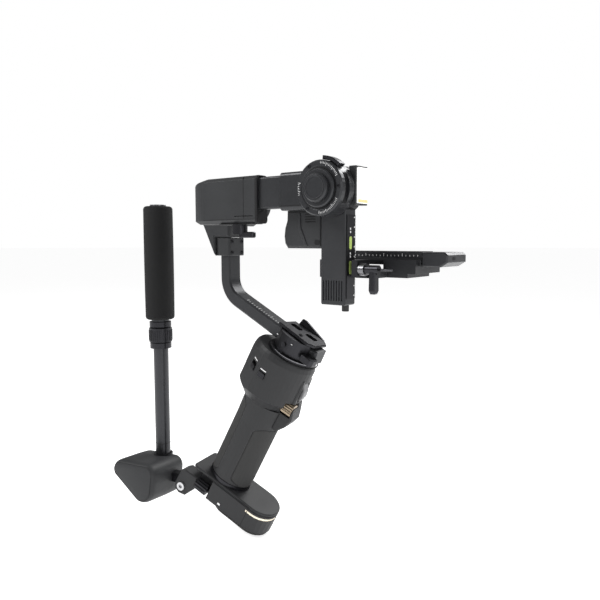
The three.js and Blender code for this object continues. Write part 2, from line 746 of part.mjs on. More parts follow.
function makeCarrier() {
  const { low, high, leverY, leverZ } = CARRIER;
  const { from, to, inner } = POST;
  const rearLip = block([from - 4, from - 0.4], [-70, inner + 7], [low, high]);
  const farWall = block([from - 4, to + 11], [inner + 0.4, inner + 7], [low, high]);
  const frontBlock = block([to + 1.4, to + 11], [-71.5, inner + 7], [low + 1, high]).subtract(
    block([to, to + 5], [-72, -64], [low, high + 1]),
  );
  const sleeve = rearLip.add(farWall).add(frontBlock);
  add(arms, "carrier_sleeve", sleeve, FINISH.dark);

  const { half, wallInner } = CRADLE;
  const length = [CRADLE.from, CRADLE.to];
  const shelf = block([from + 2, CRADLE.from + 4], [inner + 7.3, 10], [CRADLE.low, CRADLE.shelfTop]);
  const bed = block(length, [-half, half], [CRADLE.bedLow, PLATE.low - GAP]);
  const tray = block([CRADLE.from, TRAY.to], [-half, TRAY.far], [CRADLE.low, TRAY.top]);
  const wallHeight = [PLATE.low - 1, PLATE.low + 5];
  const wall = (side) => block(length, side > 0 ? [wallInner, half] : [-half, -wallInner], wallHeight);
  add(arms, "carrier_cradle", shelf.add(bed).add(tray).add(wall(1)).add(wall(-1)), FINISH.arm);

  const collar = rod(5.6, "x", to + 11.3, to + 17, 24).translate([0, leverY, leverZ]);
  add(arms, "carrier_collar", collar, FINISH.steel);
  const hub = rod(4.3, "x", to + 17.3, to + 30.5, 20).add(rod(0.9, "x", to + 30, to + 44, 8));
  const arm = extruded(
    polygon([
      [-3.8, 0],
      [3.8, 0],
      [4.4, -19],
      [2, -22],
      [-2, -22],
      [-4.4, -19],
    ]),
    "x",
    to + 22,
    to + 28.5,
    1,
  );
  add(arms, "carrier_lever", hub.add(arm).translate([0, leverY, leverZ]), FINISH.shell);
}

function makeCameraPlate() {
  const { rear, front, nose, half, low, high } = PLATE;
  const section = polygon([
    [-half, low],
    [half, low],
    [half, low + 4.6],
    [half - 2.4, low + 7],
    [half - 2.4, high],
    [2.4 - half, high],
    [2.4 - half, low + 7],
    [-half, low + 4.6],
  ]);
  const groove = block([rear + 12, front - 16], [-4, 4], [high - 3, high + 1]);
  add(arms, "camera_plate", extruded(section, "x", rear, front).subtract(groove), FINISH.arm);

  const block_outline = polygon([
    [front + GAP, low - 1.4],
    [nose - 7, low - 1.4],
    [nose, low + 3],
    [nose, high - 2.5],
    [nose - 3, high],
    [front + GAP, high],
  ]);
  const fingerSlot = block([front + 12, front + 15], [-12, 12], [high - 4, high + 1]);
  add(arms, "plate_nose", extruded(block_outline, "y", -half, half, 1.2).subtract(fingerSlot), FINISH.arm);
}

// ---------- wrist rest and sling handle ----------

/** The pad seen from the side: a triangle with round corners. */
function padOutline() {
  const corners = [
    { x: -138, z: 37.5, radius: 12, from: 90, to: 233 },
    { x: -103, z: 17, radius: 16.5, from: 233, to: 357 },
    { x: -98.5, z: 36.5, radius: 13, from: -3, to: 90 },
  ];
  const shape = new THREE.Shape();
  for (const { x, z, radius, from, to } of corners)
    shape.absarc(x, z, radius, THREE.MathUtils.degToRad(from), THREE.MathUtils.degToRad(to), false);
  shape.closePath();
  return shape;
}

function padFrame(margin) {
  const { pivotX, pivotZ } = PAD;
  const eye = rod(9.5, "y", -2.6, 8, 24).translate([pivotX, 0, pivotZ]);
  const bar = block([-122 - margin, pivotX - 4], [-2.6 - margin, 8 + margin], [17 - margin, 29 + margin]);
  const socket = rod(12.5 + margin, "z", 17 - margin, 46 + margin, 28).translate([SLING.x, SLING.y, 0]);
  return eye.add(bar).add(socket);
}

function makeWristRest() {
  const { near, far, dip, middle, pivotX, pivotZ } = PAD;
  const pad = extruded(padOutline(), "y", near, far, 3)
    .translate([0, -near, -middle])
    .rotate([-dip, 0, 0])
    .translate([0, near, middle])
    .subtract(padFrame(0.6));
  add(wrist, "wrist_pad", pad, FINISH.rubber);

  const tubeSpace = rod(SLING.radius + GAP, "z", SLING.foot - GAP, 70, 28).translate([SLING.x, SLING.y, 0]);
  const pinSpace = rod(3.9, "y", -10, 20, 20).translate([pivotX, 0, pivotZ]);
  add(wrist, "pad_frame", padFrame(0).subtract(tubeSpace).subtract(pinSpace), FINISH.dark);

  // The bracket is drawn in the handle's frame, where the pad's pivot lies here.
  const pivot = {
    x: pivotX * Math.cos(LEAN) - pivotZ * Math.sin(LEAN) + BASE.centre,
    z: pivotX * Math.sin(LEAN) + pivotZ * Math.cos(LEAN),
  };
  const cheek = extruded(
    polygon([
      [-60, -6],
      [-59, 12],
      [-54, 17],
      [-34, 17],
      [-34, -1],
      [-41, -14],
      [-50, -16.5],
      [-57, -14],
    ]),
    "y",
    -21,
    -3,
    1.2,
  );
  const tongue = block([-36, -19.2], [-12, -3], [4.5, 17]);
  const bodySpace = block([-35, -10], [-12.2, 10], [-5, 28]);
  const screwSpace = rod(3.9, "y", -30, 0, 20).translate([pivot.x, 0, pivot.z]);
  const headSpace = rod(5.6, "y", -30, -19, 24).translate([pivot.x, 0, pivot.z]);
  const bracket = cheek.add(tongue.subtract(bodySpace)).subtract(screwSpace).subtract(headSpace);
  add(handle, "sling_bracket", bracket, FINISH.shell);

  const socket = extruded(fluted(2.6, 0, 3), "y", -26, -20.5);
  const screw = rod(5.2, "y", -23, -19.3, 24).add(rod(3.5, "y", -20, 7, 20)).subtract(socket);
  add(handle, "pivot_screw", screw.translate([pivot.x, 0, pivot.z]), FINISH.steel);

  const knob = extruded(fluted(KNOB.radius, 0.9, 12), "x", KNOB.x0, KNOB.x1, 0.6)
    .add(rod(KNOB.thread, "x", KNOB.x1 - 1, KNOB.x1 + 12, 12))
    .translate([0, KNOB.y, KNOB.z]);
  add(handle, "sling_knob", knob, FINISH.dark);
}

function makeSling() {
  const { x, y, foot, tubeTop, radius, collar, grip, gripTop } = SLING;
  const inner = 7.2;
  const place = (solid) => solid.translate([x, y, 0]);
  add(wrist, "outer_tube", place(ring(inner + 0.4, radius, "z", foot, tubeTop, 28)), FINISH.tube);

  const bore = radius + GAP;
  const collarProfile = [
    [bore, collar],
    [13.6, collar],
    [13.6, collar + 7],
    [13, collar + 7.6],
    [14.6, collar + 8.4],
    [14.6, collar + 26],
    [13, collar + 27],
    [13.8, collar + 28],
    [13.8, collar + 34.4],
    [inner + 0.6, collar + 34.4],
    [inner + 0.6, tubeTop + 0.4],
    [bore, tubeTop + 0.4],
    [bore, collar],
  ];
  add(wrist, "collar", place(turned(collarProfile, "z", 32)), FINISH.dark);

  const tube = rod(inner, "z", 110, gripTop - 4, 24).add(rod(11, "z", collar + 34.9, grip - 0.4, 24));
  add(wrist, "inner_tube", place(tube), FINISH.tube);

  const foam = turned(
    [
      [inner + 0.4, grip],
      [16, grip],
      [18.4, grip + 3],
      [18.4, gripTop - 4],
      [16, gripTop],
      [0, gripTop],
      [0, gripTop - 3],
      [inner + 0.4, gripTop - 3],
      [inner + 0.4, grip],
    ],
    "z",
    32,
  );
  add(wrist, "foam_grip", place(foam), FINISH.foam);
  add(wrist, "grip_cap", place(rod(10, "z", gripTop + GAP, gripTop + 2, 24)), FINISH.steel);
}

makeBase();
makeGrip();
makeBattery();
makeHead();
makeControls();
makePanClamp();
makePanArm();
makeRollShell();
makeRollArm();
makeTiltArm();
makeCarrier();
makeCameraPlate();
makeWristRest();
makeSling();

export default group;
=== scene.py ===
"""Looks of a hand-held three-axis camera gimbal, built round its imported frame. Metres, +Z up."""

import json
import logging
import math
from dataclasses import dataclass, field
from enum import Enum
from typing import Any, Sequence

import bmesh
import bpy
from mathutils import Matrix, Vector


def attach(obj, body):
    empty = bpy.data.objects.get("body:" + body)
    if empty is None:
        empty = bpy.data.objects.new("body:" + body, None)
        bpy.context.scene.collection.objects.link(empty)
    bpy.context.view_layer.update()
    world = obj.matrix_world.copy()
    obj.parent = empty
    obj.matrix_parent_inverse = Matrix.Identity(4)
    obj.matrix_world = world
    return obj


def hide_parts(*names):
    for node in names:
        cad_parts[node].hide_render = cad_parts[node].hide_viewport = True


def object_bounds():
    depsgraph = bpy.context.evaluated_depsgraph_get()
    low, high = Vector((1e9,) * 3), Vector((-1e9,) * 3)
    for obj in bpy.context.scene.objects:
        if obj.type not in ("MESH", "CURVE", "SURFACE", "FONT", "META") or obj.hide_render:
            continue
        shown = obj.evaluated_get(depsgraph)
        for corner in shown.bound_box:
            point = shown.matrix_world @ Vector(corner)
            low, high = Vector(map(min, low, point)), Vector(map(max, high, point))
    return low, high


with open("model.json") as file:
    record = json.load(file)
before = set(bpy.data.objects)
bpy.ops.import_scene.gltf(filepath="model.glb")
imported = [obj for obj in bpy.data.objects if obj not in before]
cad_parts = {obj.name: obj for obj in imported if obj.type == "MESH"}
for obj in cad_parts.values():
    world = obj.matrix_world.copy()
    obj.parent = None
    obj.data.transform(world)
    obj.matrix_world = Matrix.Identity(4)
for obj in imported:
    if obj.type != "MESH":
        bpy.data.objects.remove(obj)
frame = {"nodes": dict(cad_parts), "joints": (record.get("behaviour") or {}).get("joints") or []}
CAD_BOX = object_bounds()

LOG = logging.getLogger("gimbal")
MM = 0.001
PROUD = 0.12  # how far a printed or inlaid mark stands out of its surface, in millimetres

Colour = tuple[float, float, float]
Point = tuple[float, float, float]
Pair = tuple[float, float]
Outline = Sequence[Pair]


# ---------- places ----------


@dataclass(frozen=True)
class Place:
    """A local frame in the model, measured in millimetres from its origin."""

    origin: Vector
    x: Vector
    y: Vector
    z: Vector

    def at(self, point: Point) -> Vector:
        """The model's position, in metres, of a point in this frame."""
        return self.origin + (self.x * point[0] + self.y * point[1] + self.z * point[2]) * MM

    def moved(self, point: Point) -> "Place":
        """This frame with its origin at a point of its own."""
        return Place(self.at(point), self.x, self.y, self.z)

    def turned(self, degrees: float) -> "Place":
        """This frame turned about its own z."""
        turn = Matrix.Rotation(math.radians(degrees), 3, self.z)
        return Place(self.origin, turn @ self.x, turn @ self.y, self.z)

    def facing(self, axis: str) -> "Place":
        """This frame with its z along x, or else along -y."""
        if axis == "x":
            return Place(self.origin, self.y, self.z, self.x)
        return Place(self.origin, self.x, self.z, -self.y)


def joint(name: str) -> dict[str, Any]:
    """The frame's joint of that name."""
    return next(entry for entry in frame["joints"] if entry["name"] == name)


@dataclass(frozen=True)
class Places:
    """The frames that the sub-assemblies are laid out in."""

    handle: Place
    clamp: Place
    arm: Place
    level: Place
    wrist: Place

    @staticmethod
    def of_the_frame() -> "Places":
        """The frames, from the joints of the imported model.

        Returns:
            The handle's, the pan clamp's, the sloping arm's, the level arms' and the wrist rest's frames.
        """
        pan_height = 229.2
        pan = joint("pan")
        up = Vector(pan["axis"]).normalized()
        top = Vector(pan["pos_m"])
        left = Vector((-up.y, up.x, 0)).normalized()
        ahead = left.cross(up)
        slope = Vector(joint("arm_slide")["axis"]).normalized()
        across = Vector((0, 1, 0))
        sole = top - up * pan_height * MM
        return Places(
            handle=Place(sole, ahead, left, up),
            clamp=Place(sole, slope, up.cross(slope), up),
            arm=Place(top, slope, across, slope.cross(across)),
            level=Place(top, Vector((1, 0, 0)), across, Vector((0, 0, 1))),
            wrist=Place(Vector((0, 0, 0)), Vector((left.y, -left.x, 0)), left, Vector((0, 0, 1))),
        )


# ---------- shader maths ----------


class Value:
    """A number or colour in a node tree, with operators for numbers."""

    def __init__(self, graph: "Graph", socket: bpy.types.NodeSocket) -> None:
        """Wraps a socket of a graph."""
        self.graph = graph
        self.socket = socket

    def _math(self, operation: str, first: Any, second: Any) -> "Value":
        """A Math node on two numbers."""
        return self.graph.node("ShaderNodeMath", {"operation": operation}, {0: first, 1: second})

    def __add__(self, other: Any) -> "Value":
        """self + other."""
        return self._math("ADD", self, other)

    def __radd__(self, other: Any) -> "Value":
        """other + self."""
        return self._math("ADD", other, self)

    def __sub__(self, other: Any) -> "Value":
        """self - other."""
        return self._math("SUBTRACT", self, other)

    def __rsub__(self, other: Any) -> "Value":
        """other - self."""
        return self._math("SUBTRACT", other, self)

    def __mul__(self, other: Any) -> "Value":
        """self * other."""
        return self._math("MULTIPLY", self, other)

    def __rmul__(self, other: Any) -> "Value":
        """other * self."""
        return self._math("MULTIPLY", other, self)

    def clipped(self, low: float, high: float) -> "Value":
        """self spread from low..high to 0..1 and kept in it."""
        inputs = {"Value": self, "From Min": low, "From Max": high}
        return self.graph.node("ShaderNodeMapRange", {"clamp": True}, inputs)


class Graph:
    """The node tree of one material."""

    def __init__(self, name: str) -> None:
        """Starts a material with an empty tree."""
        self.material = bpy.data.materials.new(name)
        self.material.use_nodes = True
        self.tree = self.material.node_tree
        self.tree.nodes.clear()

    def node(self, kind: str, settings: dict[str, Any], inputs: dict[Any, Any], output: Any = 0) -> Value:
        """Adds a node.

        Args:
            kind: the node's type.
            settings: the node's own properties, set first.
            inputs: socket names or numbers with a value or a link each.
            output: the name or number of the output that is used.

        Returns:
            The chosen output.
        """
        made = self.tree.nodes.new(kind)
        for key, setting in settings.items():
            setattr(made, key, setting)
        for key, given in inputs.items():
            if isinstance(given, Value):
                self.tree.links.new(given.socket, made.inputs[key])
            else:
                made.inputs[key].default_value = given
        return Value(self, made.outputs[output])

    def end(self, shader: Value) -> None:
        """Links a shader to the material's output."""
        output = self.tree.nodes.new("ShaderNodeOutputMaterial")
        self.tree.links.new(shader.socket, output.inputs["Surface"])

    def place(self) -> Value:
        """The position on the piece, in metres."""
        return self.node("ShaderNodeTexCoord", {}, {}, "Object")

    def noise(self, scale: float, detail: float = 3.0, stretch: Point = (1, 1, 1)) -> Value:
        """Smooth noise between 0 and 1, with about `scale` spots to the metre."""
        spread = self.node(
            "ShaderNodeVectorMath", {"operation": "MULTIPLY"}, {0: self.place(), 1: stretch}
        )
        inputs = {"Vector": spread, "Scale": scale, "Detail": detail}
        return self.node("ShaderNodeTexNoise", {}, inputs, "Fac")

    def cells(self, scale: float) -> Value:
        """The distance to the nearest cell's middle, for grains and pores."""
        return self.node("ShaderNodeTexVoronoi", {}, {"Vector": self.place(), "Scale": scale}, "Distance")

    def edges(self, radius: float) -> Value:
        """1 along the piece's edges and 0 on its faces, within a radius in metres."""
        rounded = self.node("ShaderNodeBevel", {"samples": 4}, {"Radius": radius})
        plain = self.node("ShaderNodeNewGeometry", {}, {}, "Normal")
        alike = self.node(
            "ShaderNodeVectorMath", {"operation": "DOT_PRODUCT"}, {0: rounded, 1: plain}, "Value"
        )
        return (1 - alike).clipped(0.01, 0.16)

    def blend(self, amount: Value, low: Colour, high: Colour) -> Value:
        """A colour between two colours."""
        return self.node(
            "ShaderNodeMix",
            {"data_type": "RGBA"},
            {0: amount, 6: (*low, 1), 7: (*high, 1)},
            2,
        )

    def blend_over(self, amount: Value, under: Value, over: Colour) -> Value:
        """A colour laid over another where the amount is 1."""
        return self.node("ShaderNodeMix", {"data_type": "RGBA"}, {0: amount, 6: under, 7: (*over, 1)}, 2)


# ---------- finishes ----------


class Grain(Enum):
    """How a surface feels close up."""

    MOULDED = "moulded"
    SMOOTH = "smooth"
    BRUSHED = "brushed"
    PORES = "pores"
    DIMPLES = "dimples"


@dataclass(frozen=True)
class Finish:
    """A surface finish and the material that shows it."""

    name: str
    colour: Colour
    roughness: float
    metallic: float = 0.0
    grain: Grain = Grain.MOULDED
    size: float = 2600.0
    relief: float = 0.12
    # how strongly the edges are lightened: a painted highlight along them
    edge_highlight: float = 0.35
    vary: float = 0.22
    coat: float = 0.0
    glow: float = 0.0
    gloss: float = 0.3

    def height(self, graph: Graph) -> Value:
        """The small relief of the surface."""
        if self.grain is Grain.BRUSHED:
            return graph.noise(self.size, 2, (1, 1, 0.06))
        if self.grain is Grain.PORES:
            return graph.cells(self.size) * 0.7 + graph.noise(self.size * 0.45) * 0.6
        if self.grain is Grain.DIMPLES:
            return graph.cells(self.size)
        return graph.noise(self.size, 2)

    def material(self) -> bpy.types.Material:
        """Makes the finish's material, once.

        Returns:
            The material, shared by every piece of this finish.
        """
        known = bpy.data.materials.get(self.name)
        if known:
            return known
        graph = Graph(self.name)
        cloud = graph.noise(38, 4)
        speckle = graph.noise(420, 3)
        mixed = cloud * 0.6 + speckle * 0.4
        low = tuple(c * (1 - self.vary) for c in self.colour)
        high = tuple(min(1, c * (1 + self.vary)) for c in self.colour)
        # Painted highlight: the colour is lightened along the piece's edges, mottled by the speckle noise,
        # and made a little less rough there.
        edge = graph.edges(0.0007) * self.edge_highlight * (0.55 + 0.9 * speckle)
        edge_highlight_colour = tuple(min(1, c * 1.5 + 0.05) for c in self.colour)
        colour = graph.blend_over(edge, graph.blend(mixed, low, high), edge_highlight_colour)
        rough = self.roughness + (mixed - 0.5) * 0.22 - edge * 0.12
        bump = graph.node(
            "ShaderNodeBump",
            {},
            {
                "Strength": self.relief,
                "Distance": 0.0002,
                "Height": self.height(graph),
                "Normal": graph.node("ShaderNodeBevel", {"samples": 4}, {"Radius": 0.0004}),
            },
        )
        shader = graph.node(
            "ShaderNodeBsdfPrincipled",
            {},
            {
                "Base Color": colour,
                "Roughness": rough.clipped(0.0, 1.0),
                "Metallic": self.metallic,
                "Coat Weight": self.coat,
                "Coat Roughness": 0.12,
                "Specular IOR Level": self.gloss,
                "Normal": bump,
                "Emission Color": (*self.colour, 1),
                "Emission Strength": self.glow,
            },
        )
        graph.end(shader)
        return graph.material


SHELL = Finish("moulded_shell", (0.029, 0.03, 0.032), 0.44)
HANDLE = Finish("handle_shell", (0.024, 0.0245, 0.026), 0.48)
ALLOY = Finish("satin_alloy", (0.036, 0.037, 0.04), 0.38, 0.35, Grain.SMOOTH, 3200, 0.06)
DARK = Finish("dark_alloy", (0.014, 0.014, 0.0155), 0.42, 0.3, Grain.SMOOTH, 3000, 0.06)
MOTOR = Finish("motor_shell", (0.03, 0.031, 0.034), 0.34, 0.3, Grain.SMOOTH, 3000, 0.05, coat=0.15)
TUBE = Finish("anodised_tube", (0.05, 0.051, 0.055), 0.3, 0.75, Grain.BRUSHED, 1400, 0.08)
RUBBER = Finish("grip_rubber", (0.018, 0.018, 0.0195), 0.6, 0, Grain.DIMPLES, 1500, 0.3, 0.1)
PAD = Finish("pad_skin", (0.034, 0.035, 0.037), 0.5, 0, Grain.DIMPLES, 1900, 0.22, 0.12)
FOAM = Finish("cell_foam", (0.0125, 0.0125, 0.013), 0.9, 0, Grain.PORES, 1300, 0.8, 0.05, 0.3)
STEEL = Finish("bright_steel", (0.6, 0.6, 0.62), 0.26, 1.0, Grain.BRUSHED, 1200, 0.08, 0.2, 0.1)
TRIM = Finish("champagne_trim", (0.82, 0.74, 0.6), 0.24, 0.9, Grain.BRUSHED, 1200, 0.05, 0.2, 0.08, gloss=0.5)
WHEEL = Finish("bronze_wheel", (0.35, 0.28, 0.2), 0.32, 0.85, Grain.BRUSHED, 1200, 0.06, 0.2, 0.1)
COLLAR = Finish("dull_steel", (0.2, 0.2, 0.21), 0.34, 1.0, Grain.BRUSHED, 1200, 0.08, 0.2, 0.1)
PADDLE = Finish("satin_paddle", (0.15, 0.15, 0.155), 0.34, 0.5, Grain.SMOOTH, 2200, 0.05)
GAP_BLACK = Finish("shadow_black", (0.006, 0.006, 0.007), 0.6, 0, Grain.SMOOTH, 900, 0.02, 0)
WHITE = Finish("white_print", (0.85, 0.85, 0.85), 0.5, 0, Grain.SMOOTH, 2000, 0.03, 0, 0.06)
LIME = Finish("lime_mark", (0.46, 0.6, 0.16), 0.45, 0, Grain.SMOOTH, 2000, 0.03, 0, 0.08)
PANEL = Finish("light_diffuser", (0.95, 0.95, 0.93), 0.5, 0, Grain.DIMPLES, 1100, 0.12, 0, 0.04, glow=0.55)
WARM = Finish("warm_strip", (0.9, 0.72, 0.36), 0.45, 0, Grain.SMOOTH, 2000, 0.03, 0, 0.06, glow=0.15)
GLASS = Finish(
    "screen_glass", (0.006, 0.006, 0.008), 0.08, 0, Grain.SMOOTH, 300, 0.01, 0, coat=0.6, gloss=0.5
)
WRAP = Finish("battery_wrap", (0.05, 0.14, 0.22), 0.4, 0, Grain.SMOOTH, 900, 0.04)
BOARD = Finish("circuit_board", (0.015, 0.08, 0.035), 0.5, 0, Grain.SMOOTH, 900, 0.05)


@dataclass(frozen=True)
class Coating:
    """Which finish each carried-over node wears, and how much its edges are rounded."""

    nodes: dict[Finish, tuple[str, ...]] = field(
        default_factory=lambda: {
            HANDLE: ("base_body", "base_plate", "grip_shell", "head_shell", "sling_bracket"),
            PADDLE: ("trigger",),
            SHELL: ("roll_shell", "rear_module", "neck_bracket", "neck_clamp", "light_housing"),
            ALLOY: (
                "pan_arm",
                "tilt_post",
                "roll_bar",
                "camera_plate",
                "plate_nose",
                "carrier_cradle",
                "roll_stator",
            ),
            MOTOR: ("tilt_stator", "tilt_cap", "bar_clamp"),
            DARK: (
                "pan_rotor",
                "clamp_body",
                "clamp_plate",
                "tilt_rotor",
                "carrier_sleeve",
                "collar",
                "pad_frame",
                "pan_stator",
                "scale_strip",
                "grip_foot_ring",
                "power_switch",
                "mode_button",
                "clamp_flip_lever",
                "clamp_screw",
                "bar_lock_lever",
                "tilt_lock_lever",
                "carrier_lever",
                "sling_knob",
            ),
            RUBBER: ("base_foot", "grip_rear_rubber", "grip_front_rubber", "joystick", "post_stop"),
            STEEL: ("pivot_screw",),
            COLLAR: ("carrier_collar", "grip_cap"),
            TRIM: ("trim_ring",),
            WHEEL: ("front_wheel",),
            TUBE: ("outer_tube", "inner_tube"),
            GLASS: ("screen",),
            PANEL: ("light_panel",),
            WRAP: ("battery_pack",),
            BOARD: ("control_board",),
        }
    )
    round_width: float = 0.55

    def dress(self) -> None:
        """Puts the finishes on the nodes and rounds their edges."""
        for finish, names in self.nodes.items():
            for name in names:
                node = frame["nodes"][name]
                node.data.materials.clear()
                node.data.materials.append(finish.material())
                soften(node, self.round_width)
                LOG.info("node %s in %s", name, finish.name)


def soften(piece: bpy.types.Object, width: float, segments: int = 2) -> None:
    """Rounds a piece's edges by modifiers and shades it smooth.

    Args:
        piece: the object.
        width: the rounding's width, in millimetres.
        segments: the rounding's steps.
    """
    piece.data.polygons.foreach_set("use_smooth", [True] * len(piece.data.polygons))
    merge = piece.modifiers.new("flat_faces", "DECIMATE")
    merge.decimate_type = "DISSOLVE"
    merge.angle_limit = math.radians(0.6)
    bevel = piece.modifiers.new("rounded_edges", "BEVEL")
    bevel.width = width * MM
    bevel.segments = segments
    bevel.limit_method = "ANGLE"
    bevel.angle_limit = math.radians(32)
    bevel.harden_normals = True
    bevel.use_clamp_overlap = True
    normals = piece.modifiers.new("face_normals", "WEIGHTED_NORMAL")
    normals.keep_sharp = True


# ---------- making pieces ----------


class Maker:
    """Builds one piece's mesh in a local frame, in millimetres."""

    def __init__(self, place: Place) -> None:
        """Starts an empty mesh in a frame."""
        self.place = place
        self.mesh = bmesh.new()

    def prism(self, outline: Outline, low: float, high: float) -> "Maker":
        """Adds an outline in x and y pushed from low to high along z."""
        rings = [[(x, y, z) for x, y in outline] for z in (low, high)]
        return self.loft(rings)

    def box(self, x: Pair, y: Pair, z: Pair) -> "Maker":
        """Adds a box from its ranges."""
        return self.prism([(x[0], y[0]), (x[1], y[0]), (x[1], y[1]), (x[0], y[1])], *z)

    def lathe(self, profile: Outline, segments: int = 48, squash: float = 1.0) -> "Maker":
        """Adds a profile of radius and height turned about z, closed on the axis or on itself."""
        rings = []
        for i in range(segments):
            angle = 2 * math.pi * i / segments
            rings.append([(r * math.cos(angle), r * squash * math.sin(angle), z) for r, z in profile])
        closed = profile[0] == profile[-1]
        count = len(profile) - (1 if closed else 0)
        made = [[self.mesh.verts.new(self.place.at(p)) for p in ring[:count]] for ring in rings]
        for i in range(segments):
            here, there = made[i], made[(i + 1) % segments]
            for j in range(count if closed else count - 1):
                k = (j + 1) % count
                self.mesh.faces.new((here[j], there[j], there[k], here[k]))
        return self

    def loft(self, rings: Sequence[Sequence[Point]]) -> "Maker":
        """Adds a closed skin through rings of equal length, with flat ends."""
        made = [[self.mesh.verts.new(self.place.at(p)) for p in ring] for ring in rings]
        count = len(made[0])
        for low, high in zip(made, made[1:]):
            for j in range(count):
                k = (j + 1) % count
                self.mesh.faces.new((low[j], low[k], high[k], high[j]))
        self.mesh.faces.new(list(reversed(made[0])))
        self.mesh.faces.new(made[-1])
        return self

    def done(self, name: str, finish: Finish, body: str, width: float = 0.0) -> bpy.types.Object:
        """Ends the piece.

        Args:
            name: the piece's name.
            finish: its finish.
            body: the body that it rides on.
            width: the rounding of its edges, in millimetres.

        Returns:
            The finished object.
        """
        bmesh.ops.remove_doubles(self.mesh, verts=self.mesh.verts, dist=1e-7)
        bmesh.ops.recalc_face_normals(self.mesh, faces=self.mesh.faces)
        data = bpy.data.meshes.new(name)
        self.mesh.to_mesh(data)
        self.mesh.free()
        piece = bpy.data.objects.new(name, data)
        bpy.context.scene.collection.objects.link(piece)
        data.materials.append(finish.material())
        if width:
            soften(piece, width)
        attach(piece, body)
        LOG.info("piece %s on %s", name, body)
        return piece


def arc(centre: Pair, radius: float, start: float, end: float, steps: int = 8) -> list[Pair]:
    """Points along an arc, in degrees."""
    angles = [math.radians(start + (end - start) * i / steps) for i in range(steps + 1)]
    return [(centre[0] + radius * math.cos(a), centre[1] + radius * math.sin(a)) for a in angles]


def rounded(x: Pair, y: Pair, radius: float, steps: int = 5) -> list[Pair]:
    """A rectangle's outline with round corners."""
    outline: list[Pair] = []
    for i, (cx, cy) in enumerate(
        [
            (x[1] - radius, y[1] - radius),
            (x[0] + radius, y[1] - radius),
            (x[0] + radius, y[0] + radius),
            (x[1] - radius, y[0] + radius),
        ]
    ):
        outline += arc((cx, cy), radius, 90 * i, 90 * i + 90, steps)
    return outline


def socket_screw(place: Place, radius: float, name: str, body: str, finish: Finish = DARK) -> None:
    """Makes a cap screw whose head looks along the frame's z from its origin."""
    head = [
        (0, 0.1),
        (radius * 0.5, 0.1),
        (radius * 0.5, radius * 0.5),
        (radius * 0.88, radius * 0.5),
        (radius, radius * 0.36),
        (radius, -0.1),
        (0, -0.1),
    ]
    Maker(place).lathe(head, 24).done(name, finish, body)


# ---------- sub-assemblies ----------


@dataclass(frozen=True)
class Handle:
    """Printed marks, seams and inlays of the base, the grip and the head."""

    places: Places
    body: str = "handle"
    half_width: float = 23.8
    head_centre: float = -8

    def build(self) -> None:
        """Makes the handle's added pieces."""
        self.base_lines()
        self.head_lines()
        self.control_marks()

    def base_lines(self) -> None:
        """The long side slot of the base, its end cap line and a small white mark."""
        here = self.places.handle
        side = self.half_width
        Maker(here).box((-22, 42), (-side - PROUD, -side + 1), (30.6, 31.9)).done(
            "base_side_slot", GAP_BLACK, self.body, 0.3
        )
        Maker(here).box((-22, 42), (side - 1, side + PROUD), (30.6, 31.9)).done(
            "base_far_slot", GAP_BLACK, self.body, 0.3
        )
        Maker(here).box((3.5, 7.1), (-23.5 - PROUD, -23.2), (8, 10.4)).done(
            "base_white_mark", WHITE, self.body
        )
        Maker(here).box((40.4, 41), (-23.5 - PROUD, -23.2), (3.6, 29)).done(
            "base_end_seam", GAP_BLACK, self.body
        )

    def head_lines(self) -> None:
        """The seam round the head's top."""
        place = self.places.handle
        ring = [(29.6, 214), (31, 214), (31, 214.25), (29.6, 214.25), (29.6, 214)]
        Maker(place).lathe(ring, 72).done("head_top_seam", GAP_BLACK, self.body)

    def control_marks(self) -> None:
        """The short white bars above the power switch and the mode button."""
        for name, degrees, out, low, half in (
            ("switch_mark", -128, 33, 194.6, 4.4),
            ("button_mark", -97, 34.05, 191.4, 4.0),
        ):
            place = self.places.handle.moved((self.head_centre, 0, 0)).turned(degrees)
            Maker(place).box((out - 0.5, out + PROUD), (-half, half), (low, low + 1.1)).done(
                name, WHITE, self.body
            )


@dataclass(frozen=True)
class PanClamp:
    """Fittings of the clamp that holds the bent arm."""

    places: Places
    body: str = "pan_clamp"

    def build(self) -> None:
        """Makes the rotor's bright collar, the tail lever and the marks."""
        here = self.places.clamp
        collar = [(28.6, 216.6), (29.3, 216.6), (29.3, 217.5), (28.6, 217.5), (28.6, 216.6)]
        Maker(here).lathe(collar, 72).done("rotor_collar", COLLAR, self.body)
        tail = [(21, -22), (34, -21), (36.5, -17), (36.5, -9), (31, -6), (21, -8)]
        Maker(here).prism(tail, 221, 229).done("clamp_tail_block", DARK, self.body, 0.9)
        for i, x in enumerate((-16, 6)):
            mark = Maker(here).box((x, x + 1.8), (-25.4, -24.4), (232.2, 232.8))
            mark.done(f"clamp_mark_{i}", WHITE, self.body)
        socket_screw(here.moved((4, -10, 241.9)), 2.4, "clamp_top_screw", self.body)


@dataclass(frozen=True)
class LowerArm:
    """Scale and screws of the bent arm and its neck."""

    places: Places
    body: str = "lower_arm"
    top: float = 8.0

    def build(self) -> None:
        """Makes the arm's scale and the neck clamp's screws."""
        here = self.places.arm
        scale = Maker(here)
        for i in range(14):
            x = -84 + 4 * i
            long = 4.6 if i % 5 == 0 else 2.6
            scale.box((x - 0.3, x + 0.3), (-7, -7 + long), (self.top - 0.2, self.top + PROUD))
        scale.done("arm_scale", WHITE, self.body)
        face = self.places.level.facing("x")
        for i, (y, z) in enumerate(((-8.6, 101), (8.6, 101), (-8.6, 114), (8.6, 114))):
            socket_screw(face.moved((y, z, -93.5)), 2.1, f"neck_screw_{i}", self.body)
        Maker(self.places.level.facing("-y")).box((-113, -112.2), (98, 117), (13.4, 13.5 + PROUD)).done(
            "neck_split", GAP_BLACK, self.body
        )


